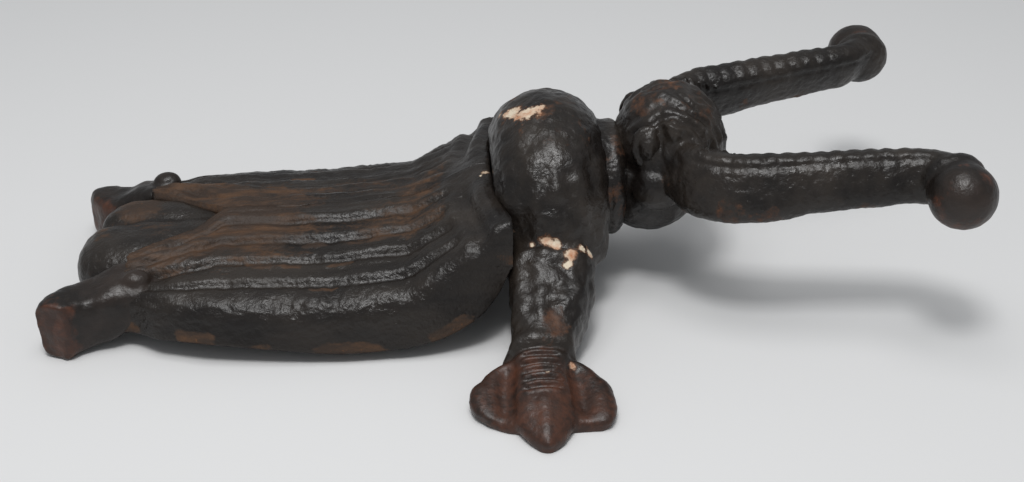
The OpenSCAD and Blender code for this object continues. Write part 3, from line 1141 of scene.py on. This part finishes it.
    def build(self, casting: Casting) -> None:
        """Makes the dome, the legs and the feet."""
        left = [self.leg(), *self.toes()]
        cast = run_together([self.dome(), *on_side(left, -1), *left], self.grain, passes=5)
        model_relief(cast, self.relief)
        stand_on_floor(cast)
        chips = tuple(
            Chip(Vector(spot[:3]), spot[3])
            for spot in (
                (2.5, 4.0, 53.5, 2.0), (5.0, -1.5, 55.8, 3.4), (9.5, -6.0, 57.6, 3.8),
                (12.6, -4.5, 58.6, 2.6), (10.0, -10.5, 56.4, 1.6),
                (12.6, -33.2, 30.6, 2.3), (15.2, -34.6, 29.8, 2.2), (18.9, -37.6, 27.8, 1.9),
                (18.2, -40.4, 26.4, 1.7), (22.6, -35.4, 28.4, 1.5), (25.2, -34.6, 26.6, 1.8),
                (8.6, -34.0, 29.4, 1.0), (10.1, -71.8, 11.8, 1.0), (18.0, -66.8, 9.4, 1.6),
                (19.0, 33.0, 29.0, 2.2), (12.0, 36.0, 27.0, 1.6),
            )
        )
        wear = Wear(self.rust, chips)
        left_way, right_way = Vector((0, 1, 0)), Vector((0, -1, 0))
        split = Vector((0, self.leg_split, 0))
        ankle = Vector((0, self.ankle_y, 0))
        dome = region_cut(cast, ((split, left_way), (-split, right_way)))
        casting.piece(dome, "thorax", Slot.BLACK, wear)
        for name, side in SIDES.items():
            out, back = (left_way, right_way) if side > 0 else (right_way, left_way)
            leg = region_cut(cast, ((split * side, back), (ankle * side, out)))
            casting.piece(leg, name + "_front_leg", Slot.BLACK, wear)
            foot = region_cut(cast, ((ankle * side, back),))
            casting.piece(foot, name + "_front_foot", Slot.RUSTY, wear)
        cast.free()


@dataclass
class Collar:
    """Waisted band between the thorax and the head, which runs a little way into both.

    Attributes:
        grain: Spacing of the surface.
        back_bite: How far the band runs into the thorax.
        front_bite: How far it runs into the head.
    """

    grain: float = 0.5
    back_bite: float = 3.5
    front_bite: float = 2.0

    def build(self, casting: Casting) -> None:
        """Spins the band."""
        box = NodeBox.of("neck_collar")
        low, high = box.low.x - self.back_bite, box.high.x + self.front_bite
        radius = box.high.z - box.middle.z
        wide = high - low
        profile = [(low, 0.0)]
        for share, drop in (
            (0, -0.6), (0.18, 0.0), (0.34, 0.5), (0.48, 0.6), (0.62, 0.3), (0.74, 0.6), (0.86, 1.6),
            (0.95, 3.2), (1, 5.4),
        ):
            profile.append((low + wide * share, radius - drop))
        profile.append((high, 0.0))
        ring = run_together([turned_form(profile, box.middle.z, steps=128)], self.grain, passes=2)
        model_relief(ring, lambda place, _: 0.3 * lumps(place, 4.5, 3.0) + 0.16 * lumps(place, 1.6, 1.0))
        wear = Wear(lambda place, _: 0.34 + 0.3 * lumps(place, 6, 4.0))
        casting.piece(ring, "neck_collar", Slot.BLACK, wear)


@dataclass
class Horns:
    """Head, eyes and the two horns that grip the heel, with the balls at their tips.

    Attributes:
        grain: Spacing of the surface.
        splay: Turn of a horn outwards, in degrees.
        rise: Rise of a horn, in degrees.
        lean: How far a horn's section leans inwards at its top, in degrees.
        root_bend: Turn of the root, in degrees.
        root_radius: Radius of the root's bend.
        run: Length of the nearly straight part.
        curl: Turn of the tip, in degrees.
        curl_radius: Radius of the tip's curl.
        notches: Scallops along the top of a horn.
        top_line: Height of a horn's top over the line that its section hangs from.
        square: Squareness of a horn's section, 2 for an ellipse.
        ring_gap: Spacing of the rings that a horn is drawn through.
        ball_radius: Radius of the balls at the tips.
        eye_grain: Spacing of an eye's surface.
        head_front: Where the head ends and the horns and balls begin, along the casting.
        head_side: The same, out to a side.
    """

    grain: float = 0.6
    splay: float = 8.5
    rise: float = 5.0
    lean: float = 24.0
    root_bend: float = 72.0
    root_radius: float = 22.0
    run: float = 44.0
    curl: float = 84.0
    curl_radius: float = 14.0
    notches: int = 12
    top_line: float = 9.0
    square: float = 2.7
    ring_gap: float = 0.7
    ball_radius: float = 9.5
    eye_grain: float = 0.4
    head_front: float = 76.0
    head_side: float = 27.0

    def __post_init__(self) -> None:
        """Takes the places from the nodes' boxes."""
        self.head_box = NodeBox.of("head")
        self.ball = NodeBox.of("left_horn_ball").middle
        self.start = Vector((self.head_box.high.x, 34.0, 47.0))
        self.root_run = math.radians(self.root_bend) * self.root_radius
        self.curl_run = math.radians(self.curl) * self.curl_radius
        self.length = self.root_run + self.run + self.curl_run
        self.frame = Matrix.Rotation(math.radians(self.splay), 3, "Z") @ Matrix.Rotation(
            -math.radians(self.rise), 3, "Y"
        )
        end = self.root_run + self.run
        self.half_height = Course(((0, 8.4), (14, 9.8), (30, 9.9), (48, 8.6), (end, 7.9), (self.length, 7.2)))
        self.thick = Course(((0, 4.6), (16, 5.6), (30, 6.0), (end, 5.2), (end + 12, 5.0), (self.length, 3.4)))

    def spine(self, run: float) -> tuple[Vector, Vector]:
        """Middle of the left horn and its sideways direction.

        Args:
            run: Distance from the root.

        Returns:
            The point and the unit vector that points away from the fork.
        """
        if run < self.root_run:
            turn = (self.root_run - run) / self.root_radius
            place = Vector((-math.sin(turn) * self.root_radius, -(1 - math.cos(turn)) * self.root_radius, 0))
            aside = Vector((-math.sin(turn), math.cos(turn), 0))
        elif run < self.root_run + self.run:
            place, aside = Vector((run - self.root_run, 0, 0)), Vector((0, 1, 0))
        else:
            turn = (run - self.root_run - self.run) / self.curl_radius
            radius = self.curl_radius
            place = Vector((self.run + math.sin(turn) * radius, (1 - math.cos(turn)) * radius, 0))
            aside = Vector((-math.sin(turn), math.cos(turn), 0))
        return self.start + self.frame @ place, self.frame @ aside

    def horn(self) -> bmesh.types.BMesh:
        """Left horn with its band of scallops, the groove beside it and its pitted face."""
        lean = math.radians(self.lean)
        steps = int(self.length / self.ring_gap)
        up = self.frame @ Vector((0, 0, 1))
        rings = []
        for i in range(steps + 1):
            run = self.length * i / steps
            place, aside = self.spine(run)
            half = self.half_height.at(run)
            across = aside * math.cos(lean) + up * math.sin(lean)
            height = up * math.cos(lean) - aside * math.sin(lean)
            middle = place + height * (self.top_line - half)
            rings.append(Ring(middle, across * self.thick.at(run), height * half, self.square, run))
        form = drawn_form(rings, sides=80)
        turn = form.verts.layers.float["turn"]
        run = form.verts.layers.float["run"]
        form.normal_update()
        moves = [vert.normal * self.horn_relief(vert[run], vert[turn]) for vert in form.verts]
        for vert, move in zip(form.verts, moves):
            vert.co += move
        return form

    def horn_relief(self, run: float, turn: float) -> float:
        """Scallops, groove and wavy skin of a horn.

        Args:
            run: Distance of a point of the horn from the root.
            turn: Its angle round the section, a quarter turn at the top.

        Returns:
            Height in mm.
        """
        height = math.sin(turn)
        pitch = (self.run + 12) / self.notches
        along = (run - self.root_run * 0.62 - 1.6 * (1 - height)) / pitch
        inside = ease(0, 0.6, along) * ease(self.notches + 0.5, self.notches - 0.5, along)
        nick = math.exp(-(((along - round(along)) * pitch / 0.85) ** 2))
        band = ease(0.60, 0.72, height)
        scallops = (-0.50 * nick + 0.18 * (along - math.floor(along))) * band * inside
        flutes = -0.3 * nick * ease(-0.1, 0.5, height) * ease(0.7, 0.55, height) * inside
        begun = ease(6, 14, run)
        groove = -0.95 * hump(height, 0.56, 0.055) * begun * ease(self.length - 3, self.length - 12, run)
        swell = 0.35 * band * begun
        return scallops + flutes + groove + swell

    def head_forms(self) -> list[bmesh.types.BMesh]:
        """Skull, face, throat, brow bosses, cheek corners and the crest of the head."""
        box = self.head_box
        skull_r, face_r, throat_r = 20.0, 16.0, 17.0
        middle = Vector((box.low.x + 10.4, 0, box.high.z - skull_r))
        forms = [
            ball_form(middle + Vector((6.0, 0, 0.4)), Vector((17.5, skull_r, skull_r))),
            ball_form(middle + Vector((1.5, 0, -8.0)), Vector((13.0, 17.0, 17.0))),
            ball_form(Vector((box.high.x - face_r, 0, middle.z - 3)), Vector((face_r, face_r, face_r))),
            ball_form(Vector((middle.x, 0, box.low.z + throat_r)), Vector((throat_r, throat_r, throat_r))),
            ball_form(middle + Vector((6.0, 0, 14.0)), Vector((9.0, 5.5, 5.6)), 0.5),
        ]
        for side in SIDES.values():
            for place, radii, tilt in (
                ((52.4, 14.2, 53.6), (3.9, 4.4, 6.4), -0.25),
                ((57.5, 10.5, 54.0), (5.5, 4.2, 5.0), 0.5),
                ((61.0, 11.5, 47.4), (7.2, 5.0, 4.4), 0.25),
                ((48.0, 16.0, 38.0), (8.0, 6.0, 7.0), 0.0),
            ):
                forms.append(ball_form(mirrored(Vector(place), side), Vector(radii), tilt))
        return forms

    def past_head(self, place: Vector) -> bool:
        """Whether a point belongs to a horn or a ball and not to the head."""
        return place.x > self.head_front or abs(place.y) > self.head_side

    def relief(self, place: Vector, normal: Vector) -> float:
        """Combed lines round the skull, furrows between the brows and lumps."""
        y = abs(place.y)
        if self.past_head(place):
            far_ball = (Vector((place.x, y, place.z)) - self.ball).length
            calm = ease(self.ball_radius + 3, self.ball_radius + 0.5, far_ball)
            return (0.30 * lumps(place, 6.0, 3.0) + 0.20 * lumps(place, 1.8, 1.0)) * (1 - 0.6 * calm)
        hub = Vector((50.5, 0, 49.0))
        reach = math.hypot(place.x - hub.x, place.z - hub.z) + 1.3 * lumps(place, 8, 6.0)
        combed = math.cos(math.tau * reach / 2.3) * ease(7, 10, reach) * ease(47, 52, place.z)
        furrow = -1.1 * hump(place.x, 47.6, 1.4) * hump(place.z, 53, 6) * ease(9, 13, y)
        bars = 0.35 * math.cos(math.tau * y / 3.4) * ease(58, 62, place.x) * ease(45, 50, place.z)
        under = ease(46, 38, place.z)
        rough = 0.75 * lumps(place, 5.0, 2.0) + 0.30 * lumps(place, 2.2, 5.0)
        return 0.42 * combed + furrow + bars + rough * (1 - 0.45 * under)

    def rust(self, place: Vector, normal: Vector) -> float:
        """Brown top of the head, and spots low on the horns."""
        if self.past_head(place):
            low = 0.35 * ease(50, 44, place.z) * ease(-0.1, 0.35, lumps(place, 9, 12.0))
            return 0.14 + low + 0.12 * lumps(place, 14, 2.0)
        top = 0.26 * ease(52, 60, place.z)
        return 0.16 + top + 0.25 * lumps(place, 9, 5.0)

    def ball_rust(self, place: Vector, normal: Vector) -> float:
        """The balls are rubbed brown."""
        return 0.30 + 0.40 * lumps(place, 7, 3.0) + 0.30 * ease(52, 44, place.z)

    def eye(self, side: int) -> bmesh.types.BMesh:
        """Eye: a domed boss in a raised lid."""
        box = NodeBox.of("left_eye")
        middle = Vector((box.middle.x - 0.6, 12.6, box.middle.z - 2.8))
        full_turn, rings = 40, 37
        lid = [
            Ring(
                middle + Vector((4.2 * math.cos(turn), 1.0 - 1.0 * math.sin(turn), 5.4 * math.sin(turn))),
                Vector((1.3 * math.cos(turn), 0, 1.3 * math.sin(turn))),
                Vector((0, 1.5, 0)),
            )
            for turn in (math.tau * i / full_turn for i in range(rings))
        ]
        forms = on_side((ball_form(middle, Vector((4.0, 4.6, 5.6))), drawn_form(lid, sides=16)), side)
        boss = run_together(forms, self.eye_grain, passes=3)
        model_relief(boss, lambda place, _: 0.25 * lumps(place, 2.6, 4.0) + 0.15 * lumps(place, 1.2, 1.0))
        return boss

    def build(self, casting: Casting) -> None:
        """Makes the head, eyes, horns and balls."""
        left = [self.horn(), ball_form(self.ball, Vector((1, 1, 1)) * self.ball_radius)]
        left.append(ball_form(self.ball + Vector((-0.4, -6.6, 0.8)), Vector((9.4, 5.6, 8.8)), -0.1))
        cast = run_together([*self.head_forms(), *on_side(left, -1), *left], self.grain, passes=3)
        model_relief(cast, self.relief)
        wear, rubbed = Wear(self.rust), Wear(self.ball_rust)
        root, aside = self.spine(self.root_run * 0.45)
        heading = Vector((aside.y, -aside.x, 0))
        _, tip_aside = self.spine(self.length - 3.0)
        tip_heading = Vector((tip_aside.y, -tip_aside.x, 0)).normalized()
        tip_place = self.ball - tip_heading * 6.0
        back = (Vector((self.head_box.low.x, 0, 0)), Vector((-1, 0, 0)))
        roots = {side: (mirrored(root, side), mirrored(heading, side)) for side in SIDES.values()}
        tips = {side: (mirrored(tip_place, side), mirrored(tip_heading, side)) for side in SIDES.values()}
        casting.piece(region_cut(cast, (back, *roots.values())), "head", Slot.BLACK, wear)
        for name, side in SIDES.items():
            place, way = roots[side]
            end, end_way = tips[side]
            arm = region_cut(cast, ((place, -way), (end, end_way)))
            casting.piece(arm, name + "_horn", Slot.BLACK, wear)
            knob = region_cut(cast, ((end, -end_way),))
            casting.piece(knob, name + "_horn_ball", Slot.RUSTY, rubbed)
            casting.piece(self.eye(side), name + "_eye", Slot.BLACK, wear)
        cast.free()


# ---- studio ----


@dataclass(frozen=True)
class SoftLight:
    """A square area light that points at the casting.

    Attributes:
        name: Name of the light.
        azimuth: Where it hangs round the casting, in degrees from the front.
        elevation: How high it hangs, in degrees.
        distance: How far away it hangs, in metres.
        size: Width of the light in metres.
        power: Its power in watts.
    """

    name: str
    azimuth: float
    elevation: float
    distance: float
    size: float
    power: float

    def hang(self, target: Vector) -> None:
        """Hangs the light and turns it to a point."""
        lamp = bpy.data.lights.new(self.name, "AREA")
        lamp.energy = self.power
        lamp.size = self.size
        holder = placed(self.name, lamp)
        a, e = math.radians(self.azimuth), math.radians(self.elevation)
        way = Vector((math.sin(a) * math.cos(e), -math.cos(a) * math.cos(e), math.sin(e)))
        holder.location = target + way * self.distance
        holder.rotation_euler = way.to_track_quat("Z", "Y").to_euler()


@dataclass(frozen=True)
class Studio:
    """Pale floor, soft light from above and the camera.

    Attributes:
        lights: The soft lights.
        aim: The point they face, in metres.
        floor_half: Half the floor's width in metres.
        camera_place: Place of the camera in metres.
        camera_tilt: Its tilt from straight down, in degrees.
        camera_turn: Its turn about the upright, in degrees.
        lens: Its focal length in mm.
        sky: Colour of the light from all round.
        sky_strength: Strength of that light.
    """

    lights: tuple[SoftLight, ...] = (
        SoftLight("overhead_softbox", azimuth=-20, elevation=78, distance=1.00, size=0.70, power=4.2),
        SoftLight("front_softbox", azimuth=-10, elevation=66, distance=0.80, size=0.16, power=2.4),
    )
    aim: tuple[float, float, float] = (0.0, 0.0, 0.03)
    floor_half: float = 3.0
    camera_place: tuple[float, float, float] = (-0.018307, -0.370706, 0.226)
    camera_tilt: float = 60.0
    camera_turn: float = -3.53
    lens: float = 46.898
    sky: str = "#e9ecef"
    sky_strength: float = 0.40

    def build(self) -> None:
        """Sets up the floor, the lights and the camera."""
        form = bmesh.new()
        bmesh.ops.create_grid(form, x_segments=4, y_segments=4, size=self.floor_half)
        mesh = as_mesh("floor", form)
        mesh.materials.append(MattBoard().material())
        floor = placed("floor", mesh)
        for light in self.lights:
            light.hang(Vector(self.aim))
        world = bpy.data.worlds.new("studio")
        world.use_nodes = True
        glow = world.node_tree.nodes["Background"]
        glow.inputs["Color"].default_value = linear(self.sky)
        glow.inputs["Strength"].default_value = self.sky_strength
        bpy.context.scene.world = world
        camera = bpy.data.cameras.new("camera")
        camera.lens = self.lens
        camera.sensor_width = 36.0
        holder = placed("camera", camera)
        holder.location = self.camera_place
        holder.rotation_euler = (math.radians(self.camera_tilt), 0, math.radians(self.camera_turn))
        bpy.context.scene.camera = holder
        bpy.context.scene.view_settings.view_transform = "Standard"


def main() -> None:
    """Builds the casting region by region, then the studio round it."""
    casting = Casting()
    for region in (WingCases(), Tail(), Thorax(), Collar(), Horns()):
        LOG.info("region %s", type(region).__name__)
        region.build(casting)
    LOG.info("%d pieces", len(casting.pieces))
    Studio().build()


if __name__ == "__main__":
    main()
